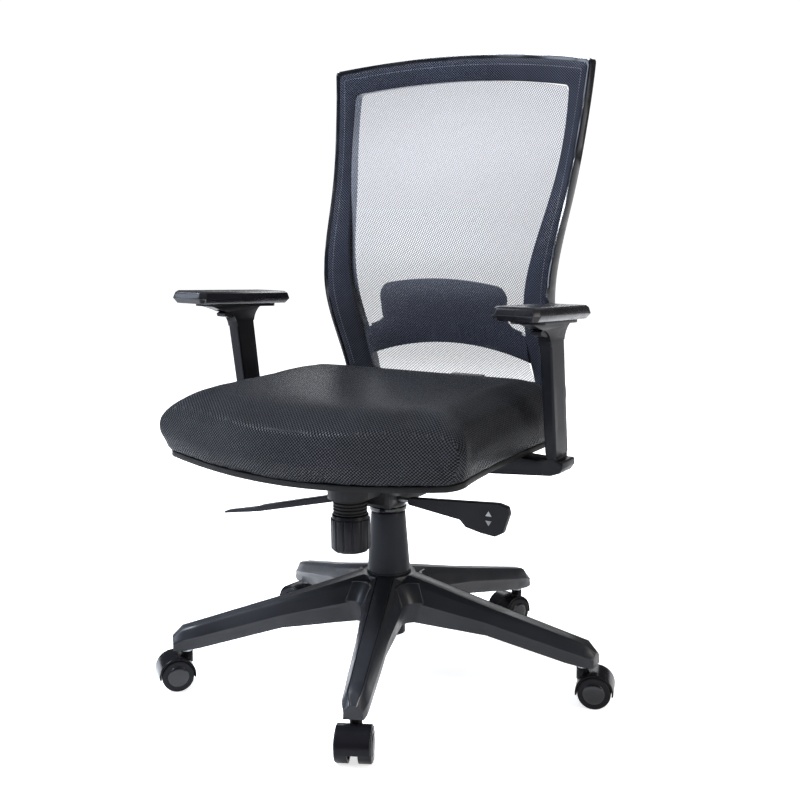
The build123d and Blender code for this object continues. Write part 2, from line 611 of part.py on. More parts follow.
with BuildPart() as seat_pan:
    with BuildSketch(Plane.YZ):
        with BuildLine():
            top = Line((200, SEAT_BOTTOM_Z), (-190, SEAT_BOTTOM_Z))
            nose = ThreePointArc(
                top @ 1, (-245, SEAT_BOTTOM_Z - 6.5), (-300, SEAT_BOTTOM_Z - 25.0)
            )
            drop = Line(nose @ 1, (-300, PAN_Z - 25.0))
            under = ThreePointArc(drop @ 1, (-245, PAN_Z - 6.5), (-190, PAN_Z))
            Polyline(under @ 1, (200, PAN_Z), (200, SEAT_BOTTOM_Z))
        make_face()
    extrude(amount=SEAT_HALF_W + 20.0, both=True)
    extrude(pan_outline, amount=120.0, mode=Mode.INTERSECT)
    with BuildSketch(Plane.XY.offset(PLATE_Z + PLATE_T)):
        with Locations(*SEAT_BOLTS):
            Circle(11.0)
        with Locations((0, PLATE_FRONT_Y + 20.0), (0, PLATE_REAR_Y - 20.0)):
            Rectangle(140.0, 4.0)
        with Locations((-70.0, -20.0), (70.0, -20.0)):
            Rectangle(4.0, 180.0)
    extrude(amount=PAN_Z - PLATE_Z - PLATE_T)
    with BuildSketch(Plane.XY.offset(PLATE_Z)):
        with Locations(*SEAT_BOLTS):
            Circle(3.0)
    extrude(amount=20.0, mode=Mode.SUBTRACT)
    with BuildSketch(Plane.XY.offset(PAN_Z)):
        with Locations(*ARM_BOLTS, *[(-x, y) for x, y in ARM_BOLTS]):
            Circle(3.0)
    extrude(amount=6.0, mode=Mode.SUBTRACT)
finish(seat_pan.part, "seat_pan")

with BuildPart() as seat_cushion:
    with BuildSketch(Plane.YZ):
        with BuildLine():
            base = Line((200, SEAT_BOTTOM_Z), (-190, SEAT_BOTTOM_Z))
            nose = ThreePointArc(
                base @ 1, (-245, SEAT_BOTTOM_Z - 6.5), (-300, SEAT_BOTTOM_Z - 25.0)
            )
            front = Line(nose @ 1, (-300, 425))
            crown = Spline(
                front @ 1, (-255, 456), (-150, 472), (0, SEAT_CROWN_Z), (120, 466), (200, 446),
            )
            Line(crown @ 1, base @ 0)
        make_face()
    extrude(amount=SEAT_HALF_W + 20.0, both=True)
    loft(cushion_sections, mode=Mode.INTERSECT)
finish(seat_cushion.part, "seat_cushion")

with BuildPart() as seat_bolts:
    with BuildSketch(Plane.XY.offset(PLATE_Z)):
        with Locations(*SEAT_BOLTS):
            Circle(3.0)
    extrude(amount=PAN_Z - PLATE_Z)
    with BuildSketch(Plane.XY.offset(PLATE_Z - 4.0)):
        with Locations(*SEAT_BOLTS):
            RegularPolygon(5.5, 6)
    extrude(amount=4.0)
finish(seat_bolts.part, "seat_bolts")

# ---------------------------------------------------------------- arms
BRACKET_HALF_L = 21.0
POST_TOP = 150.0
SLEEVE_TOP = 180.0           # where the sleeve starts to flare, along the post
NECK_W = 20.0
SHELF_W, SHELF_L, SHELF_T = 52.0, 150.0, 5.0         # the shelf the pad is fixed to
TRIGGER_W, TRIGGER_PLAY, TRIGGER_TRAVEL = 16.0, 0.6, 4.0
# Side view of the height trigger: distance from the post's middle and height along the post.
TRIGGER_OUTLINE = [
    (-24.0, 197.0), (-33.0, 197.0), (-49.0, 203.0), (-50.0, 208.0), (-42.0, 209.5), (-24.0, 209.5),
]
PAD_SECTIONS = [(0.0, 6.0, 6.0), (8.0, 0.0, 8.0), (17.0, 2.5, 8.0), (PAD_T, 6.0, 8.0)]

for side, way in SIDES.items():
    arm_plane = Plane(
        origin=(way * ARM_X, ARM_Y, ARM_Z),
        x_dir=(cos(radians(ARM_SPLAY)), 0, -way * sin(radians(ARM_SPLAY))),
        z_dir=(way * sin(radians(ARM_SPLAY)), -sin(radians(ARM_LEAN)), cos(radians(ARM_LEAN))),
    )
    side_plane = Plane(arm_plane.origin, x_dir=arm_plane.y_dir, z_dir=arm_plane.x_dir)
    pad_plane = Plane(origin=(way * PAD_X, PAD_Y, PAD_Z)).rotated((-PAD_TILT, 0, way * PAD_TOE))

    with BuildPart() as arm_bracket:
        with BuildSketch(Plane.XZ.offset(-ARM_Y)):
            Polygon(
                *[
                    (way * x, z)
                    for x, z in (
                        (105, PAN_Z), (105, 350), (128, 340), (279, 351), (293, 356),
                        (298, 364), (298, 374), (263, 374), (258, 371), (190, PAN_Z - 1),
                        (180, PAN_Z),
                    )
                ],
                align=None,
            )
        extrude(amount=BRACKET_HALF_L, both=True)
        upright = arm_bracket.edges().filter_by(Axis.Y).sort_by(Axis.Z)
        fillet(upright.group_by(Axis.X)[-1 if way > 0 else 0], radius=3.0)
        with BuildSketch(arm_plane.offset(-8.0)):
            RectangleRounded(17.0, 41.0, 4.0)
        extrude(amount=8.0 + SLEEVE_FOOT - 0.4)
        with BuildSketch(arm_plane):
            RectangleRounded(POST_T, POST_L, 3.0)
        extrude(amount=POST_TOP)
        with BuildSketch(Plane.XY.offset(330.0)):
            with Locations(*[(way * x, y) for x, y in ARM_BOLTS]):
                Circle(6.5)
        extrude(amount=34.0, mode=Mode.SUBTRACT)
        with BuildSketch(Plane.XY.offset(330.0)):
            with Locations(*[(way * x, y) for x, y in ARM_BOLTS]):
                Circle(3.0)
        extrude(amount=60.0, mode=Mode.SUBTRACT)
    finish(arm_bracket.part, f"arm_bracket_{side}")

    with BuildPart() as arm_sleeve:
        with BuildSketch(arm_plane.offset(SLEEVE_FOOT)):
            RectangleRounded(SLEEVE_T, SLEEVE_L, 3.0)
        with BuildSketch(arm_plane.offset(SLEEVE_TOP)):
            RectangleRounded(NECK_W, SLEEVE_L + 1.0, 3.0)
        loft()
        with BuildSketch(side_plane):
            with BuildLine():
                chin = Line((-86.0, 229.5), (-47.0, 210.5))
                front = ThreePointArc(chin @ 1, (-29.5, 200.0), (-22.0, SLEEVE_TOP))
                foot = Line(front @ 1, (22.0, SLEEVE_TOP))
                rear = ThreePointArc(foot @ 1, (32.0, 193.5), (56.0, 199.5))
                Line(rear @ 1, chin @ 0)
            make_face()
        extrude(amount=NECK_W / 2, both=True)
        with BuildSketch(pad_plane.offset(-SHELF_T)):
            with Locations((0, 8.0)):
                RectangleRounded(SHELF_W, SHELF_L, 14.0)
        extrude(amount=SHELF_T)
        with BuildSketch(arm_plane):
            RectangleRounded(POST_T + 0.6, POST_L + 0.6, 3.0)
        extrude(amount=POST_TOP + 4.0, mode=Mode.SUBTRACT)
        with BuildSketch(side_plane):
            with Locations((-24.0 + TRIGGER_PLAY, 209.5 + TRIGGER_TRAVEL + TRIGGER_PLAY)):
                Rectangle(40.0, 26.0, align=Align.MAX)
        extrude(amount=TRIGGER_W / 2 + TRIGGER_PLAY, both=True, mode=Mode.SUBTRACT)
    finish(arm_sleeve.part, f"arm_sleeve_{side}")

    with BuildPart() as arm_trigger:
        with BuildSketch(side_plane):
            Polygon(*TRIGGER_OUTLINE, align=None)
        extrude(amount=TRIGGER_W / 2, both=True)
        fillet(arm_trigger.edges().filter_by(Axis(side_plane.origin, side_plane.z_dir)), radius=1.0)
    finish(arm_trigger.part, f"arm_trigger_{side}")

    with BuildPart() as arm_pad:
        for height, trim, corner in PAD_SECTIONS:
            with BuildSketch(pad_plane.offset(height)):
                Rectangle(PAD_W - 2 * trim, PAD_L - 2 * trim)
                chamfer(vertices(), length=corner)
        loft(ruled=True)
    finish(arm_pad.part, f"arm_pad_{side}")

with BuildPart() as arm_bolts:
    with BuildSketch(Plane.XY.offset(364.0 - 5.0)):
        with Locations(*ARM_BOLTS, *[(-x, y) for x, y in ARM_BOLTS]):
            Circle(5.5)
    extrude(amount=5.0)
    with BuildSketch(Plane.XY.offset(364.0)):
        with Locations(*ARM_BOLTS, *[(-x, y) for x, y in ARM_BOLTS]):
            Circle(3.0)
    extrude(amount=PAN_Z + 5.0 - 364.0)
finish(arm_bolts.part, "arm_bolts")

# ---------------------------------------------------------------- back
# Side view of the front face at the outer edge of the back, from its foot to its top.
EDGE_PROFILE = [(193, 395), (188, 430), (167, 490), (131, 598), (176, 750), (210, 870), (226, 985)]
CENTRE_SET_BACK = [40, 40, 38, 34, 30, 28, 28]      # how far the middle lies behind the edge
BACK_HALF_W = 250.0
CROSSBAR_T = 12.0
# Plates that rise from the crossbar behind the ends of the lumbar pad, in front view.
SADDLE = [
    (60, 532), (60, 568), (112, 568), (113, 556), (117, 548), (126, 541), (142, 535), (142, 528),
]
SADDLE_Y, SADDLE_T = 180.6, 6.0


def curved_sheet(profile, set_back, front, rear):
    """Sheet along a side profile, bowed back by set_back in the middle, between two depths."""
    with BuildPart() as slab:
        for x, share in ((-BACK_HALF_W, 0.0), (0.0, 1.0), (BACK_HALF_W, 0.0)):
            points = [(y + share * back, z) for (y, z), back in zip(profile, set_back)]
            with BuildSketch(Plane.YZ.offset(x)):
                with BuildLine():
                    near = Spline(*[(y + front, z) for y, z in points])
                    far = Spline(*[(y + rear, z) for y, z in points])
                    Line(near @ 0, far @ 0)
                    Line(near @ 1, far @ 1)
                make_face()
        loft()
    return slab.part


def back_slab(front, rear):
    """Sheet that follows the curved back, between two depths behind its front face."""
    return curved_sheet(EDGE_PROFILE, CENTRE_SET_BACK, front, rear)


def back_outline(inset):
    """Front view of the back's outer edge."""
    with BuildSketch(Plane.XZ) as outline:
        with BuildLine():
            top = ThreePointArc((-237 + inset, 961 - inset), (0, 979 - inset), (237 - inset, 961 - inset))
            right = Spline(
                top @ 1, (217 - inset, 700), (208 - inset, 560), (204 - inset, 405 + inset),
            )
            foot = Line(right @ 1, (-204 + inset, 405 + inset))
            Spline(foot @ 1, (-208 + inset, 560), (-217 + inset, 700), top @ 0)
        make_face()
        fillet(outline.vertices().group_by(Axis.Y)[0], radius=30.0)
        fillet(outline.vertices().group_by(Axis.Y)[-1], radius=7.0)
    return outline.sketch


def window_outline(inset):
    """Front view of the opening inside the frame."""
    with BuildSketch(Plane.XZ) as outline:
        with BuildLine():
            top = ThreePointArc((-199 + inset, 922 - inset), (0, 937 - inset), (199 - inset, 922 - inset))
            right = Spline(
                top @ 1, (187 - inset, 750), (165 - inset, 620), (156 - inset, 447 + inset),
            )
            foot = Line(right @ 1, (-156 + inset, 447 + inset))
            Spline(foot @ 1, (-165 + inset, 620), (-187 + inset, 750), top @ 0)
        make_face()
        fillet(outline.vertices(), radius=8.0)
    return outline.sketch


def crossbar_outline():
    """Front view of the arched bar that carries the lumbar pad."""
    with BuildSketch(Plane.XZ) as outline:
        with BuildLine():
            upper = ThreePointArc((-172, 522), (0, 552), (172, 522))
            right = Line(upper @ 1, (172, 474))
            lower = ThreePointArc(right @ 1, (0, 508), (-172, 474))
            Line(lower @ 1, upper @ 0)
        make_face()
    return outline.sketch


SWEEP = 2000.0
rim_outline, carrier_outline = back_outline(0.0), back_outline(RIM)
opening, mesh_outline = window_outline(0.0), window_outline(0.4)
full_slab = back_slab(0.0, BACK_T)
front_slab = back_slab(-5.0, CARRIER_T)
carrier_slab = back_slab(0.0, CARRIER_T)
crossbar_slab = back_slab(CARRIER_T, CARRIER_T + CROSSBAR_T)
rail_slab = back_slab(-20.0, BACK_T)
track_slab = back_slab(CARRIER_T, 60.0)
crossbar_shape = crossbar_outline()
RAIL_SCREWS = [(sx * 18.0, z) for sx in (-1, 1) for z in (416.0, 436.0)]

with BuildPart() as crossbar:
    add(crossbar_slab)
    extrude(crossbar_shape, amount=SWEEP, both=True, mode=Mode.INTERSECT)

with BuildPart() as carrier_recess:
    add(front_slab)
    extrude(carrier_outline, amount=SWEEP, both=True, mode=Mode.INTERSECT)

with BuildPart() as back_frame:
    add(full_slab)
    extrude(rim_outline, amount=SWEEP, both=True, mode=Mode.INTERSECT)
    extrude(opening, amount=SWEEP, both=True, mode=Mode.SUBTRACT)
    add(crossbar.part)
    with BuildSketch(Plane.XZ.offset(-SADDLE_Y)):
        Polygon(*SADDLE, align=None)
        mirror(about=Plane.YZ)
    extrude(amount=-SADDLE_T)
    add(carrier_recess.part, mode=Mode.SUBTRACT)
    with BuildSketch(Plane.XZ.offset(-300.0)):
        with Locations(*RAIL_SCREWS):
            Circle(2.5)
    extrude(amount=62.0, mode=Mode.SUBTRACT)
finish(back_frame.part, "back_frame")

with BuildPart() as mesh_carrier:
    add(carrier_slab)
    extrude(carrier_outline, amount=SWEEP, both=True, mode=Mode.INTERSECT)
    extrude(opening, amount=SWEEP, both=True, mode=Mode.SUBTRACT)
finish(mesh_carrier.part, "mesh_carrier")

MESH_T = 1.4
# Side view of the mesh where it meets the window's sides; it is pulled almost straight between
# them, and follows the bowed rails only near its top and bottom.
MESH_PROFILE = [(214, 440), (182, 500), (166, 560), (156, 600), (170, 680), (196, 780), (224, 945)]
MESH_SET_BACK = [10, 1, 0, 0, 1, 6, 20]
mesh_sheet = curved_sheet(MESH_PROFILE, MESH_SET_BACK, 0.0, MESH_T)
with BuildPart() as back_mesh:
    add(mesh_sheet)
    extrude(mesh_outline, amount=SWEEP, both=True, mode=Mode.INTERSECT)
finish(back_mesh.part, "back_mesh")

LUMBAR_HALF_W, LUMBAR_LOW_Z, LUMBAR_HIGH_Z = 121.0, 545.0, 612.0
LUMBAR_Y, LUMBAR_T = 172.0, 8.0
LUMBAR_REAR_Y = LUMBAR_Y + LUMBAR_T
TONGUE_W, TONGUE_T = 28.0, 2.2
TRACK_W, TRACK_LOW_Z, TRACK_HIGH_Z = 48.0, 515.5, 546.0
with BuildPart() as lumbar_pad:
    with BuildSketch(Plane.XZ.offset(-LUMBAR_Y)):
        with BuildLine():
            top = ThreePointArc(
                (-LUMBAR_HALF_W, LUMBAR_HIGH_Z - 8), (0, LUMBAR_HIGH_Z + 5),
                (LUMBAR_HALF_W, LUMBAR_HIGH_Z - 8),
            )
            Polyline(
                top @ 1, (LUMBAR_HALF_W - 8, LUMBAR_LOW_Z), (8 - LUMBAR_HALF_W, LUMBAR_LOW_Z),
                top @ 0,
            )
        make_face()
        fillet(vertices().group_by(Axis.Y)[0], radius=10.0)
        fillet(vertices().group_by(Axis.Y)[-1], radius=24.0)
    extrude(amount=-LUMBAR_T)
    with BuildSketch(Plane.XY.offset(TRACK_LOW_Z + 1.0)):
        with Locations((0, LUMBAR_REAR_Y + TONGUE_T / 2)):
            Rectangle(TONGUE_W, TONGUE_T)
    extrude(amount=LUMBAR_LOW_Z + 15.0 - TRACK_LOW_Z)
finish(lumbar_pad.part, "lumbar_pad")

with BuildPart() as lumbar_track:
    with BuildSketch(Plane.YZ):
        with Locations((LUMBAR_REAR_Y + 0.3, TRACK_LOW_Z)):
            Rectangle(35.0, TRACK_HIGH_Z - TRACK_LOW_Z, align=Align.MIN)
    extrude(amount=TRACK_W / 2, both=True)
    add(track_slab, mode=Mode.SUBTRACT)
    with BuildSketch(Plane.XY.offset(TRACK_LOW_Z - 5.0)):
        with Locations((0, LUMBAR_REAR_Y)):
            Rectangle(TONGUE_W + 0.6, 2 * TONGUE_T + 0.6)
    extrude(amount=60.0, mode=Mode.SUBTRACT)
finish(lumbar_track.part, "lumbar_track")

BRACKET_W, BRACKET_EAR_R = 60.0, 13.0
with BuildPart() as back_bracket:
    with BuildSketch(Plane.YZ):
        with BuildLine():
            Polyline(
                (84, 331), (84, 303), (200, 298), (246, 312), (270, 352), (270, 446),
                (240, 446), (240, 395), (253, 395), (252, 362), (232, 330), (200, 322), (84, 331),
            )
        make_face()
        fillet(vertices().sort_by(Axis.Y)[3:5], radius=10.0)
    extrude(amount=BRACKET_W / 2, both=True)
    for way in (-1, 1):
        with BuildSketch(Plane.YZ.offset(way * (HOUSING_HALF_W + EAR_GAP))):
            with Locations((RECLINE_Y, RECLINE_Z)):
                Circle(BRACKET_EAR_R)
            Polygon(
                (RECLINE_Y, RECLINE_Z + BRACKET_EAR_R), (RECLINE_Y, RECLINE_Z - BRACKET_EAR_R),
                (94, 303), (94, 331), align=None,
            )
        extrude(amount=way * 6.0)
    with BuildSketch(Plane.YZ):
        Polygon((80, 331), (80, 303), (94, 303), (94, 331), align=None)
    extrude(amount=HOUSING_HALF_W + EAR_GAP + 6.0, both=True)
    with BuildSketch(Plane.YZ.offset(-100.0)):
        with Locations((RECLINE_Y, RECLINE_Z)):
            Circle(RECLINE_PIN_R + FIT)
    extrude(amount=200.0, mode=Mode.SUBTRACT)
    with BuildSketch(Plane.XZ.offset(-280.0)):
        with Locations(*RAIL_SCREWS):
            Circle(2.5)
    extrude(amount=45.0, mode=Mode.SUBTRACT)
    add(rail_slab, mode=Mode.SUBTRACT)
finish(back_bracket.part, "back_bracket")

with BuildPart() as back_screws:
    with BuildSketch(Plane.XZ.offset(-270.0)):
        with Locations(*RAIL_SCREWS):
            Circle(2.5)
    extrude(amount=30.0)
    with BuildSketch(Plane.XZ.offset(-270.0)):
        with Locations(*RAIL_SCREWS):
            Circle(5.0)
    extrude(amount=-3.5)
finish(back_screws.part, "back_screws")
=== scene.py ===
import math

import bmesh
import bpy
from mathutils import Matrix, Vector
from mathutils.bvhtree import BVHTree


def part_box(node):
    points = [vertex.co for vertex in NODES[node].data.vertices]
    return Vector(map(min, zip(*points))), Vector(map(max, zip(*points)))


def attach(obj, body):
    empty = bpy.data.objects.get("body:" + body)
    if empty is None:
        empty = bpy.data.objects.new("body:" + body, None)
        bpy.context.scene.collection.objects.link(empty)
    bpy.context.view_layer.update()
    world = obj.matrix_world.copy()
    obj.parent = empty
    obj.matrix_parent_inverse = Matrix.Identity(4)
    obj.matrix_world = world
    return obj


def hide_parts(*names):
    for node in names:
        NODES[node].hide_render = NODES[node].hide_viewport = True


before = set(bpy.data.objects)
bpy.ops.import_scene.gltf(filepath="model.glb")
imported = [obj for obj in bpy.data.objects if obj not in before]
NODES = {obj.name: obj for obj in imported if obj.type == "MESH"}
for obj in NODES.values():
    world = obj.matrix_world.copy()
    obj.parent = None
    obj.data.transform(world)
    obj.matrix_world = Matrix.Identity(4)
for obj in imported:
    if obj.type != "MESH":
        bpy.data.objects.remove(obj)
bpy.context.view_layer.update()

CASTERS = ("front", "right", "rear_right", "rear_left", "left")

# ------------------------------------------------------------------ camera and light
AZIMUTH, PITCH, ROLL = (math.radians(a) for a in (32.05, 9.76, -0.74))
DISTANCE, TARGET_Z = 2.0771, 0.4496
SENSOR_MM, LENS_MM = 36.0, 60.03
SHIFT_X, SHIFT_Y = 0.0166, -0.0064

back = Vector((
    math.sin(AZIMUTH) * math.cos(PITCH),
    -math.cos(AZIMUTH) * math.cos(PITCH),
    math.sin(PITCH),
))
level = Vector((math.cos(AZIMUTH), math.sin(AZIMUTH), 0))
upright = back.cross(level)
right = math.cos(ROLL) * level + math.sin(ROLL) * upright
up = math.cos(ROLL) * upright - math.sin(ROLL) * level
camera = bpy.data.objects.new("camera", bpy.data.cameras.new("camera"))
bpy.context.scene.collection.objects.link(camera)
camera.data.sensor_width, camera.data.lens = SENSOR_MM, LENS_MM
camera.data.shift_x, camera.data.shift_y = SHIFT_X, SHIFT_Y
camera.data.clip_start, camera.data.clip_end = 0.05, 60.0
turn = Matrix((right, up, back)).transposed().to_4x4()
camera.matrix_world = Matrix.Translation(Vector((0, 0, TARGET_Z)) + back * DISTANCE) @ turn
bpy.context.scene.camera = camera
bpy.context.scene.view_settings.view_transform = "Standard"


def softbox(name, place, target, size, power, colour):
    """Soft rectangular light aimed at a point."""
    lamp = bpy.data.objects.new(name, bpy.data.lights.new(name, "AREA"))
    bpy.context.scene.collection.objects.link(lamp)
    lamp.data.shape = "RECTANGLE"
    lamp.data.size, lamp.data.size_y = size
    lamp.data.energy, lamp.data.color = power, colour
    lamp.location = place
    aim = Vector(target) - Vector(place)
    lamp.rotation_euler = aim.to_track_quat("-Z", "Y").to_euler()


softbox("key", (-2.2, -1.8, 1.2), (0, 0, 0.45), (0.9, 1.4), 40, (0.74, 0.84, 1.0))
softbox("roll", (-1.6, -1.1, 2.5), (0, -0.25, 0.45), (0.9, 0.9), 190, (0.84, 0.90, 1.0))
softbox("side", (2.6, -0.1, 1.1), (0, 0, 0.45), (1.0, 1.6), 40, (1.0, 0.95, 0.86))
softbox("rear", (-1.2, 2.6, 1.8), (0, 0, 0.6), (1.6, 1.6), 30, (0.95, 0.97, 1.0))

ceiling = bpy.data.objects.new("ceiling", bpy.data.lights.new("ceiling", "SUN"))
bpy.context.scene.collection.objects.link(ceiling)
ceiling.data.energy, ceiling.data.angle = 1.0, math.radians(120)

# Camera rays meet plain white; every other ray meets a dim sky.
world = bpy.data.worlds.new("studio")
bpy.context.scene.world = world
world.use_nodes = True
nodes, links = world.node_tree.nodes, world.node_tree.links
sky = nodes["Background"]
sky.inputs["Color"].default_value = (0.93, 0.94, 0.96, 1)
sky.inputs["Strength"].default_value = 0.08
plain = nodes.new("ShaderNodeBackground")
plain.inputs["Color"].default_value = (1.0, 1.0, 1.0, 1)
plain.inputs["Strength"].default_value = 1.05
seen = nodes.new("ShaderNodeLightPath")
choose = nodes.new("ShaderNodeMixShader")
links.new(seen.outputs["Is Camera Ray"], choose.inputs[0])
links.new(sky.outputs[0], choose.inputs[1])
links.new(plain.outputs[0], choose.inputs[2])
links.new(choose.outputs[0], nodes["World Output"].inputs["Surface"])


# ------------------------------------------------------------------ materials
FACE_SHARPNESS = 5.0  # how abruptly a weave passes from one side of a piece to the next
PLASTIC_SHINE = 0.09  # specular level of the plain mouldings


class Shader:
    """A Principled material, wired by short calls."""

    def __init__(self, name, **values):
        self.material = bpy.data.materials.new(name)
        self.material.use_nodes = True
        self.tree = self.material.node_tree
        self.bsdf = self.tree.nodes["Principled BSDF"]
        for key, value in values.items():
            self.bsdf.inputs[key.replace("_", " ")].default_value = value
        coords = self.tree.nodes.new("ShaderNodeTexCoord")
        self.place, self.normal = coords.outputs["Object"], coords.outputs["Normal"]

    def put(self, value, socket):
        """Link a socket, or set it to a constant."""
        if isinstance(value, bpy.types.NodeSocket):
            self.tree.links.new(value, socket)
        elif value is not None:
            socket.default_value = value

    def node(self, kind, *inputs, out=0, **settings):
        made = self.tree.nodes.new("ShaderNode" + kind)
        for key, value in settings.items():
            setattr(made, key, value)
        for socket, value in zip(made.inputs, inputs):
            self.put(value, socket)
        return made.outputs[out]

    def math(self, operation, a, b=None):
        return self.node("Math", a, b, operation=operation)

    def noise(self, scale, detail=2.0, roughness=0.5, place=None):
        """Noise in object space, as a value from 0 to 1."""
        made = self.tree.nodes.new("ShaderNodeTexNoise")
        self.put(place or self.place, made.inputs["Vector"])
        for key, value in (("Scale", scale), ("Detail", detail), ("Roughness", roughness)):
            made.inputs[key].default_value = value
        return made.outputs["Fac"]

    def spread(self, value, low, high, start=0.3, end=0.7):
        """Map a value from one range to another."""
        made = self.tree.nodes.new("ShaderNodeMapRange")
        self.put(value, made.inputs["Value"])
        ends = (("From Min", start), ("From Max", end), ("To Min", low), ("To Max", high))
        for key, number in ends:
            made.inputs[key].default_value = number
        return made.outputs["Result"]

    def blend(self, factor, a, b):
        """Mix two colours."""
        made = self.tree.nodes.new("ShaderNodeMix")
        made.data_type = "RGBA"
        self.put(factor, made.inputs["Factor"])
        for value, socket in ((a, made.inputs[6]), (b, made.inputs[7])):
            self.put((*value, 1) if isinstance(value, tuple) else value, socket)
        return made.outputs[2]

    def bump(self, height, strength, distance, below=None):
        made = self.tree.nodes.new("ShaderNodeBump")
        self.put(height, made.inputs["Height"])
        made.inputs["Strength"].default_value = strength
        made.inputs["Distance"].default_value = distance
        self.put(below, made.inputs["Normal"])
        return made.outputs["Normal"]

    def waves(self, axis, pitch):
        """Cosine along one axis, with a pitch in metres."""
        value = self.node("SeparateXYZ", self.place, out="XYZ".index(axis))
        return self.math("COSINE", self.math("MULTIPLY", value, 2 * math.pi / pitch))

    def knit(self, across, along):
        """Staggered cells of a knitted face, laid on whichever side a surface turns to."""
        x, y = (self.waves(axis, across) for axis in "XY")
        y_long, z_long = (self.waves(axis, along) for axis in "YZ")
        faces = (self.math("MULTIPLY", y, z_long), self.math("MULTIPLY", x, z_long),
                 self.math("MULTIPLY", x, y_long))
        total, weight = None, None
        for index, face in enumerate(faces):
            turned = self.math("ABSOLUTE", self.node("SeparateXYZ", self.normal, out=index))
            share = self.math("POWER", turned, FACE_SHARPNESS)
            part = self.math("MULTIPLY", face, share)
            total = part if total is None else self.math("ADD", total, part)
            weight = share if weight is None else self.math("ADD", weight, share)
        return self.math("DIVIDE", total, weight)


def plastic(name, dark, light, rough, grain=1100.0, relief=0.12, **values):
    """Moulded plastic: fine spark-eroded grain, uneven sheen, convex edges painted a little lighter as a
    painted highlight.
    """
    s = Shader(name, **{"Specular_IOR_Level": PLASTIC_SHINE, **values})
    mottled = s.blend(s.spread(s.noise(9.0, 4.0), 0.0, 1.0), dark, light)
    # Convex edges are painted lighter than the body colour: a painted highlight along the edges.
    edge = s.spread(s.node("NewGeometry", out="Pointiness"), 0.0, 0.35, 0.52, 0.62)
    edge_highlight = tuple(min(1.0, 2.2 * c + 0.01) for c in light)
    s.put(s.blend(edge, mottled, edge_highlight), s.bsdf.inputs["Base Color"])
    s.put(s.spread(s.noise(26.0, 3.0), rough - 0.05, rough + 0.07), s.bsdf.inputs["Roughness"])
    s.put(s.bump(s.noise(grain, 1.0), relief, 0.0002), s.bsdf.inputs["Normal"])
    return s.material


def metal(name, colour, rough, stretch=(1, 1, 40)):
    """Drawn or turned steel with fine lines round it."""
    s = Shader(name, Metallic=1.0)
    lines = s.noise(60.0, 3.0, 0.6, s.node("VectorMath", s.place, stretch, operation="MULTIPLY"))
    darker = tuple(0.75 * c for c in colour)
    s.put(s.blend(s.spread(lines, 0, 1), colour, darker), s.bsdf.inputs["Base Color"])
    s.put(s.spread(lines, rough - 0.06, rough + 0.1), s.bsdf.inputs["Roughness"])
    s.put(s.bump(lines, 0.08, 0.0002), s.bsdf.inputs["Normal"])
    return s.material


def knitted(name, hollow_shade, yarn, across, along, relief, rough, **values):
    """Spacer-mesh or border fabric: staggered cells with glossy yarn between them, the cell hollows
    painted near-black as painted shade.
    """
    s = Shader(name, **values)
    cells = s.knit(across, along)
    tone = s.blend(s.spread(s.noise(14.0, 3.0), 0, 1), yarn, tuple(0.72 * c for c in yarn))
    # The hollows of the cells take the near-black hollow colour: painted shade in the recesses between
    # the yarn.
    s.put(s.blend(s.spread(cells, 0, 1, -0.55, 0.18), tone, hollow_shade), s.bsdf.inputs["Base Color"])
    s.put(s.spread(cells, rough, 0.9, -0.3, 0.4), s.bsdf.inputs["Roughness"])
    fuzz = s.bump(s.noise(2400.0, 1.0), 0.15, 0.0003)
    depth = s.spread(cells, 1, 0, -0.5, 0.7)
    s.put(s.bump(depth, 0.9, relief, fuzz), s.bsdf.inputs["Normal"])
    return s.material


base_nylon = plastic("base_nylon", (0.010, 0.011, 0.014), (0.016, 0.017, 0.021), 0.36, 900.0, 0.2,
                     Specular_IOR_Level=0.24)
satin_black = plastic("satin_black", (0.005, 0.0052, 0.007), (0.009, 0.009, 0.011), 0.34)
cover_plastic = plastic("cover_plastic", (0.010, 0.011, 0.014), (0.015, 0.016, 0.020), 0.42, 900.0, 0.2)
gloss_black = plastic("gloss_black", (0.003, 0.0032, 0.005), (0.005, 0.0055, 0.008), 0.13, 300.0, 0.02,
                      Specular_IOR_Level=0.36)
caster_black = plastic("caster_black", (0.004, 0.004, 0.005), (0.007, 0.007, 0.009), 0.22, 700.0, 0.06)
wheel_black = plastic("wheel_black", (0.005, 0.005, 0.006), (0.009, 0.009, 0.011), 0.30, 700.0, 0.08)
pad_skin = plastic("pad_skin", (0.006, 0.006, 0.008), (0.010, 0.010, 0.013), 0.24, 1500.0, 0.12,
                   Specular_IOR_Level=0.22)
rubber = plastic("rubber", (0.005, 0.005, 0.005), (0.009, 0.009, 0.009), 0.5, 1300.0, 0.2)
coated_steel = plastic("coated_steel", (0.006, 0.006, 0.007), (0.010, 0.010, 0.011), 0.36, 1600.0, 0.25)
thread_grey = plastic("thread_grey", (0.08, 0.085, 0.105), (0.13, 0.135, 0.165), 0.5, 2500.0, 0.3)
mark_grey = plastic("mark_grey", (0.18, 0.185, 0.195), (0.24, 0.245, 0.255), 0.5)
zinc = metal("zinc", (0.42, 0.43, 0.45), 0.32)
# Each fabric's first colour is the painted shade of its cell hollows; the second is its yarn.
seat_fabric = knitted("seat_fabric", (0.0008, 0.0008, 0.0010), (0.040, 0.043, 0.052), 0.0052, 0.0046,
                      0.0020, 0.26, Specular_IOR_Level=0.11)
border_fabric = knitted("border_fabric", (0.0010, 0.0012, 0.0024), (0.042, 0.049, 0.078), 0.0046, 0.0040,
                        0.0013, 0.36, Specular_IOR_Level=0.12)


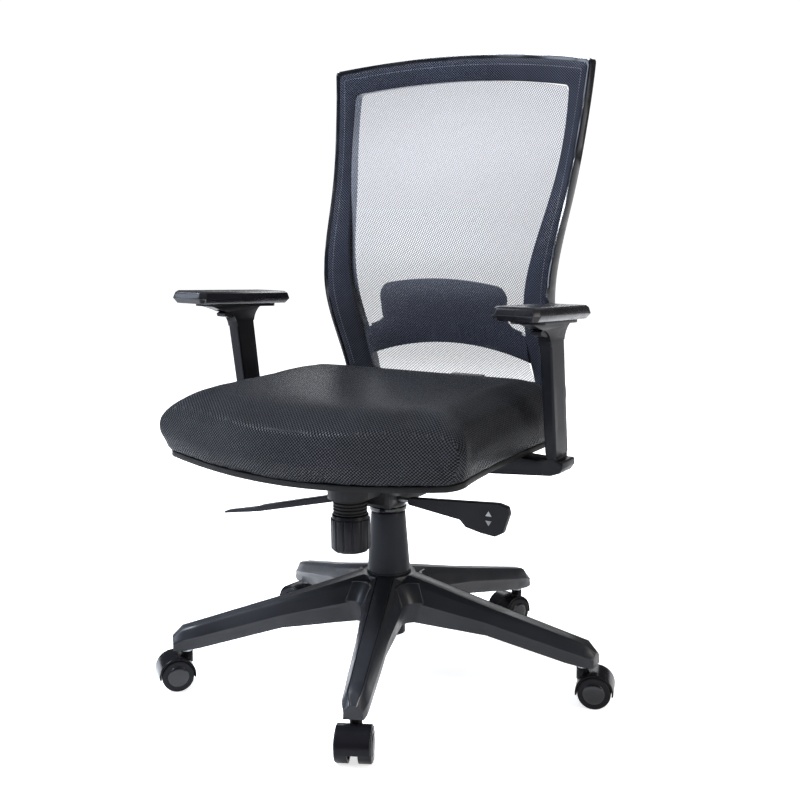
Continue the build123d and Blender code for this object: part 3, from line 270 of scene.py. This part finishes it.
def dress(node, material, edge=0.0, turn=32.0):
    """Give a CAD node its material, and round its sharp edges by a hair where edge is given."""
    piece = NODES[node]
    piece.data.materials.clear()
    piece.data.materials.append(material)
    if edge:
        weld = piece.modifiers.new("weld", "WELD")
        weld.merge_threshold = 0.00002
        bevel = piece.modifiers.new("edge", "BEVEL")
        bevel.width, bevel.segments = edge, 2
        bevel.limit_method, bevel.angle_limit = "ANGLE", math.radians(turn)
        bevel.harden_normals = True
    for face in piece.data.polygons:
        face.use_smooth = True


def mesh_piece(name, verts, faces, material, smooth=True):
    """New mesh object from points and faces."""
    data = bpy.data.meshes.new(name)
    data.from_pydata([tuple(v) for v in verts], [], faces)
    data.validate()
    data.materials.append(material)
    for face in data.polygons:
        face.use_smooth = smooth
    piece = bpy.data.objects.new(name, data)
    bpy.context.scene.collection.objects.link(piece)
    return piece


def tree_of(node):
    """Ray-casting tree of a CAD node."""
    data = NODES[node].data
    points = [v.co for v in data.vertices]
    return BVHTree.FromPolygons(points, [p.vertices for p in data.polygons])


dress("star_base", base_nylon, 0.0009)
dress("dust_cover", cover_plastic, 0.0005)
dress("gas_cylinder", satin_black)
dress("column_collar", gloss_black, 0.0004)
dress("mechanism_housing", coated_steel, 0.0008)
dress("tension_knob", satin_black, 0.0007)
dress("tension_boot", rubber, 0.0006)
dress("height_paddle", satin_black)
dress("lock_grip", satin_black, 0.0006)
dress("seat_plate", coated_steel, 0.0006)
dress("seat_pan", rubber, 0.0008)
dress("back_bracket", satin_black, 0.0012)
dress("back_frame", gloss_black, 0.0012)
dress("mesh_carrier", border_fabric, 0.0016)
dress("lumbar_pad", satin_black, 0.002)
dress("lumbar_track", satin_black, 0.0006)
STEEL_NODES = (
    "piston_rod", "rod_clip", "thrust_bearing", "pressure_tube", "valve_pin", "tilt_pin", "recline_pin",
    "tension_bolt", "tension_spring", "height_lever", "lock_lever", "seat_bolts", "arm_bolts",
    "back_screws",
)
for node in STEEL_NODES:
    dress(node, zinc)
for side in ("left", "right"):
    dress(f"arm_bracket_{side}", satin_black, 0.001)
    dress(f"arm_sleeve_{side}", satin_black, 0.001)
    dress(f"arm_trigger_{side}", satin_black)
    dress(f"arm_pad_{side}", pad_skin, 0.0016)
for name in CASTERS:
    dress(f"caster_hood_{name}", caster_black, 0.0006)
    dress(f"caster_pins_{name}", zinc)
    dress(f"caster_wheel_{name}_a", wheel_black, 0.0004)
    dress(f"caster_wheel_{name}_b", wheel_black, 0.0004)


# ------------------------------------------------------------------ seat cushion
VOXEL, QUICK_VOXEL = 0.005, 0.007
SWELL_FRAMES = 20
DRAW_IN = 0.003  # how far the foam's skin is drawn in before it swells
SWELL_LIMIT = 0.0075
# The cushion's foot stays put while it swells, and is higher towards the rear.
HELD_HEIGHT, HELD_REAR_EXTRA, REAR_START = 0.032, 0.02, 0.1
CORNER_X, CORNER_Y = 0.262, -0.234
BULGE, BULGE_Z, BULGE_HALF_H, BULGE_REACH = 0.009, 0.428, 0.028, 0.06
CREASE_DEPTH, CREASE_HALF_W, CREASE_REACH = 0.0022, 0.006, 0.05
PAN_NEAR, PAN_GAP = 0.010, 0.0006  # whatever is this near the pan settles on it, this far off


def relax(data, share):
    """Move each point part of the way to the middle of its neighbours."""
    total = [Vector() for _ in data.vertices]
    count = [0] * len(data.vertices)
    for edge in data.edges:
        a, b = edge.vertices
        total[a] += data.vertices[b].co
        total[b] += data.vertices[a].co
        count[a] += 1
        count[b] += 1
    for vertex, sum_, n in zip(data.vertices, total, count):
        vertex.co = vertex.co.lerp(sum_ / max(n, 1), share)


def simulate(piece, limit, hold):
    """Inflate a closed cushion as cloth, cap how far it swells, and keep its held points."""
    rest = [v.co.copy() for v in piece.data.vertices]
    group = piece.vertex_groups.new(name="held")
    group.add([i for i, co in enumerate(rest) if hold(co)], 1.0, "REPLACE")
    cloth = piece.modifiers.new("inflate", "CLOTH")
    cloth.settings.use_pressure = True
    cloth.settings.uniform_pressure_force = 4.0
    cloth.settings.vertex_group_mass = "held"
    cloth.settings.effector_weights.gravity = 0.0
    cloth.settings.quality = 4
    cloth.point_cache.frame_start, cloth.point_cache.frame_end = 1, SWELL_FRAMES
    for step in range(1, SWELL_FRAMES + 1):
        bpy.context.scene.frame_set(step)
    shape = piece.evaluated_get(bpy.context.evaluated_depsgraph_get())
    swollen = [v.co.copy() for v in shape.data.vertices]
    piece.modifiers.remove(cloth)
    for vertex, start, end in zip(piece.data.vertices, rest, swollen):
        move = end - start
        if move.length > limit:
            move *= limit / move.length
        vertex.co = start + move
    bpy.context.scene.frame_set(1)


def apply_modifiers(piece):
    """Bake a piece's modifiers into its mesh."""
    shape = piece.evaluated_get(bpy.context.evaluated_depsgraph_get())
    data = bpy.data.meshes.new_from_object(shape)
    piece.modifiers.clear()
    piece.data = data


def shape_corner(vertex, way):
    """Fill out a front corner of the seat, and press a shallow crease into it."""
    from_corner = vertex.co.xy - Vector((way * CORNER_X, CORNER_Y))
    bulge = max(-0.3, 1 - ((vertex.co.z - BULGE_Z) / BULGE_HALF_H) ** 2)
    near = math.exp(-(from_corner.length / BULGE_REACH) ** 2)
    vertex.co += Vector((way, -0.6, 0)).normalized() * BULGE * bulge * near
    across = (from_corner.x * way + from_corner.y) / math.sqrt(2)
    if from_corner.length < CREASE_REACH and abs(across) < CREASE_HALF_W:
        depth = CREASE_DEPTH * (1 - (across / CREASE_HALF_W) ** 2)
        vertex.co -= Vector((way, -1, 0)).normalized() * depth


def settle_on_pan(vertex, pan, above):
    """Lay the cover's foot on the pan, just clear of it."""
    hit = pan.ray_cast(Vector((vertex.co.x, vertex.co.y, above)), Vector((0, 0, -1)))[0]
    if hit is not None and vertex.co.z - hit.z < PAN_NEAR:
        vertex.co.z = hit.z + max(PAN_GAP, 1.5 * (vertex.co.z - hit.z) - 0.005)


def make_cushion():
    """The foam seat under its wrapped spacer-mesh cover."""
    piece = bpy.data.objects.new("seat_cover", NODES["seat_cushion"].data.copy())
    bpy.context.scene.collection.objects.link(piece)
    remesh = piece.modifiers.new("remesh", "REMESH")
    remesh.mode, remesh.voxel_size = "VOXEL", VOXEL
    apply_modifiers(piece)
    for _ in range(3):
        relax(piece.data, 0.5)
    low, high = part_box("seat_cushion")
    pan = tree_of("seat_pan")
    normals = [v.normal.copy() for v in piece.data.vertices]
    for vertex, normal in zip(piece.data.vertices, normals):
        vertex.co -= normal * DRAW_IN * min(1.0, max(0.0, 1.0 + 1.4 * normal.z))
    simulate(piece, SWELL_LIMIT, lambda co: co.z < low.z + HELD_HEIGHT
             + HELD_REAR_EXTRA * (co.y - low.y > REAR_START))
    for _ in range(12):
        relax(piece.data, 0.5)
    for vertex in piece.data.vertices:
        for way in (-1, 1):
            shape_corner(vertex, way)
        settle_on_pan(vertex, pan, high.z + 0.2)
    smooth = piece.modifiers.new("finer", "SUBSURF")
    smooth.levels = smooth.render_levels = 1
    apply_modifiers(piece)
    piece.data.materials.clear()
    piece.data.materials.append(seat_fabric)
    for face in piece.data.polygons:
        face.use_smooth = True
    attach(piece, "seat")
    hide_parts("seat_cushion")


make_cushion()


# ------------------------------------------------------------------ back mesh
MESH_ROWS, MESH_COLUMNS = 64, 48
MESH_TRIM_Z, MESH_TRIM_X = 0.001, 0.0003  # how far the netting stops short of its CAD shape
MESH_DEPTH = 0.0007  # how far it lies behind the CAD shape's front
THREAD_PITCH, CROSS_PITCH = 0.0036, 0.0060


def section(node, height):
    """Points where a CAD node crosses a level."""
    made = bmesh.new()
    made.from_mesh(NODES[node].data)
    cut = bmesh.ops.bisect_plane(made, geom=made.verts[:] + made.edges[:] + made.faces[:],
                                 plane_co=(0, 0, height), plane_no=(0, 0, 1))
    points = [g.co.copy() for g in cut["geom_cut"] if isinstance(g, bmesh.types.BMVert)]
    made.free()
    return points


def make_back_mesh():
    """The stretched see-through mesh, one thin sheet inside the border."""
    low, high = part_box("back_mesh")
    tree = tree_of("back_mesh")
    verts, faces = [], []
    for row in range(MESH_ROWS + 1):
        z = low.z + MESH_TRIM_Z + (high.z - low.z - 2 * MESH_TRIM_Z) * row / MESH_ROWS
        half = max(abs(p.x) for p in section("back_mesh", z)) - MESH_TRIM_X
        for column in range(MESH_COLUMNS + 1):
            x = half * (2 * column / MESH_COLUMNS - 1)
            hit = tree.ray_cast(Vector((x * 0.995, -1, z)), Vector((0, 1, 0)))[0]
            verts.append((x, (hit.y if hit else verts[-1][1]) + MESH_DEPTH, z))
    wide = MESH_COLUMNS + 1
    for row in range(MESH_ROWS):
        for column in range(MESH_COLUMNS):
            a = row * wide + column
            faces.append((a, a + 1, a + 1 + wide, a + wide))
    s = Shader("open_mesh", Roughness=0.45)
    x, z = (s.node("SeparateXYZ", s.place, out=i) for i in (0, 2))
    slope = s.math("ADD", x, s.math("MULTIPLY", z, 0.62))
    other = s.math("SUBTRACT", x, s.math("MULTIPLY", z, 1.5))
    first = s.math("COSINE", s.math("MULTIPLY", slope, 2 * math.pi / THREAD_PITCH))
    second = s.math("COSINE", s.math("MULTIPLY", other, 2 * math.pi / CROSS_PITCH))
    main_threads = s.spread(first, 0, 1, 0.25, 0.75)
    cross_threads = s.spread(second, 0, 0.8, 0.5, 0.95)
    thread = s.math("MAXIMUM", main_threads, cross_threads)
    tone = s.blend(thread, (0.016, 0.018, 0.028), (0.050, 0.056, 0.080))
    s.put(tone, s.bsdf.inputs["Base Color"])
    s.put(s.spread(thread, 0.24, 0.94, 0.0, 1.0), s.bsdf.inputs["Alpha"])
    piece = mesh_piece("back_netting", verts, faces, s.material)
    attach(piece, "back")
    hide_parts("back_mesh")


make_back_mesh()


# ------------------------------------------------------------------ stitching, hub caps and marks
STITCH_INSET, STITCH_PITCH, STITCH_SHARE, STITCH_HALF_W = 0.009, 0.0045, 0.62, 0.0006
FOOT_CLEAR, CROWN_RISE = 0.05, 0.017  # where the line starts, and how much its top arches
HUB_OUTLINE = (
    (0.0165, -0.0004), (0.0165, 0.0006), (0.0155, 0.0011), (0.011, 0.0019), (0.005, 0.0023),
)
HUB_FACE = 0.02605  # from the middle of a caster to the outer face of a wheel
MARK_X, MARK_Y, MARK_Z = 0.203, -0.04712, 0.2885  # between the two arrowheads
MARK_FOOT, MARK_TIP, MARK_HALF_W, MARK_DEPTH = 0.0035, 0.0110, 0.005, 0.0003


def frame_edge(tree, inset, count):
    """Points on the border fabric's front, a distance in from its outer edge, foot to foot."""
    low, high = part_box("mesh_carrier")
    side, top_z = [], high.z - inset - CROWN_RISE
    for step in range(count + 1):
        z = low.z + FOOT_CLEAR + (top_z - low.z - FOOT_CLEAR) * step / count
        side.append((max(abs(p.x) for p in section("mesh_carrier", z)) - inset, z))
    half, crown = side[-1][0], high.z - inset
    across = [half * math.cos(math.pi * k / 40) for k in range(1, 40)]
    top = [(-x, top_z + (crown - top_z) * (1 - (x / half) ** 2)) for x in across]
    path = [(-x, z) for x, z in side] + top + list(reversed(side))
    points = []
    for x, z in path:
        hit = tree.ray_cast(Vector((x, -1, z)), Vector((0, 1, 0)))[0]
        if hit is not None:
            points.append(hit)
    return points


def spaced(points, pitch):
    """Points at an even pitch along a line of points."""
    out, left = [points[0]], pitch
    for a, b in zip(points, points[1:]):
        length = (b - a).length
        while length > left:
            a = a.lerp(b, left / length)
            out.append(a)
            length = (b - a).length
            left = pitch
        left -= length
    return out


def stitches(name, points, half_w, share, material, group):
    """Row of short raised threads laid along a line, each three sides of a flattened bead."""
    verts, faces = [], []
    for a, b in zip(points, points[1:]):
        run = (b - a) * share
        out = Vector((0, -1, 0))
        wide = run.cross(out).normalized() * half_w
        ring = (-wide, -0.5 * wide + out * half_w, 0.5 * wide + out * half_w, wide)
        start = len(verts)
        for place, scale in ((0.0, 0.5), (0.25, 1.0), (0.75, 1.0), (1.0, 0.5)):
            verts += [a + run * place + spoke * scale for spoke in ring]
        for row in range(3):
            for k in range(3):
                c = start + 4 * row + k
                faces.append((c, c + 4, c + 5, c + 1))
    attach(mesh_piece(name, verts, faces, material), group)


stitch_line = spaced(frame_edge(tree_of("mesh_carrier"), STITCH_INSET, 60), STITCH_PITCH)
stitches("border_stitches", stitch_line, STITCH_HALF_W, STITCH_SHARE, thread_grey, "back")


def lathe(name, outline, place, axis, material, group, count=40):
    """Turned disc from (radius, height) pairs."""
    spin = Vector(axis).to_track_quat("Z", "Y").to_matrix()
    verts, faces = [], []
    for radius, height in outline:
        for k in range(count):
            a = 2 * math.pi * k / count
            spoke = Vector((radius * math.cos(a), radius * math.sin(a), height))
            verts.append(Vector(place) + spin @ spoke)
    for row in range(len(outline) - 1):
        for k in range(count):
            a, b = row * count + k, row * count + (k + 1) % count
            faces.append((a, b, b + count, a + count))
    faces.append(tuple(range((len(outline) - 1) * count, len(outline) * count)))
    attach(mesh_piece(name, verts, faces, material), group)


for name in CASTERS:
    middles = {end: sum(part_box(f"caster_wheel_{name}_{end}"), Vector()) / 2 for end in "ab"}
    for end, other in (("a", "b"), ("b", "a")):
        way = middles[end] - middles[other]
        way.z = 0
        way.normalize()
        outer = (middles["a"] + middles["b"]) / 2 + way * HUB_FACE
        lathe(f"hub_cap_{name}_{end}", HUB_OUTLINE, outer, way, gloss_black, f"wheel_{name}_{end}")

ARROW_FACES = [(3, 4, 5), (0, 1, 4, 3), (1, 2, 5, 4), (2, 0, 3, 5)]
for name, way in (("arrow_down", -1), ("arrow_up", 1)):
    tip = MARK_Z + way * MARK_TIP
    foot = MARK_Z + way * MARK_FOOT
    verts = [(MARK_X - MARK_HALF_W, MARK_Y, foot), (MARK_X + MARK_HALF_W, MARK_Y, foot),
             (MARK_X, MARK_Y, tip)]
    verts += [(x, y - MARK_DEPTH, z) for x, y, z in verts]
    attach(mesh_piece(name, verts, ARROW_FACES, mark_grey, smooth=False), "height_control")


# ------------------------------------------------------------------ floor
FLOOR_HALF = 20
s = Shader("floor_paint", Roughness=0.8, Emission_Color=(1.0, 1.0, 1.0, 1), Emission_Strength=0.70,
           Specular_IOR_Level=0.1)
s.put(s.blend(s.noise(2.0), (0.86, 0.86, 0.87), (0.89, 0.89, 0.90)), s.bsdf.inputs["Base Color"])
corners = [(FLOOR_HALF * x, FLOOR_HALF * y, 0) for x, y in ((-1, -1), (1, -1), (1, 1), (-1, 1))]
floor = mesh_piece("floor", corners, [(0, 1, 2, 3)], s.material)
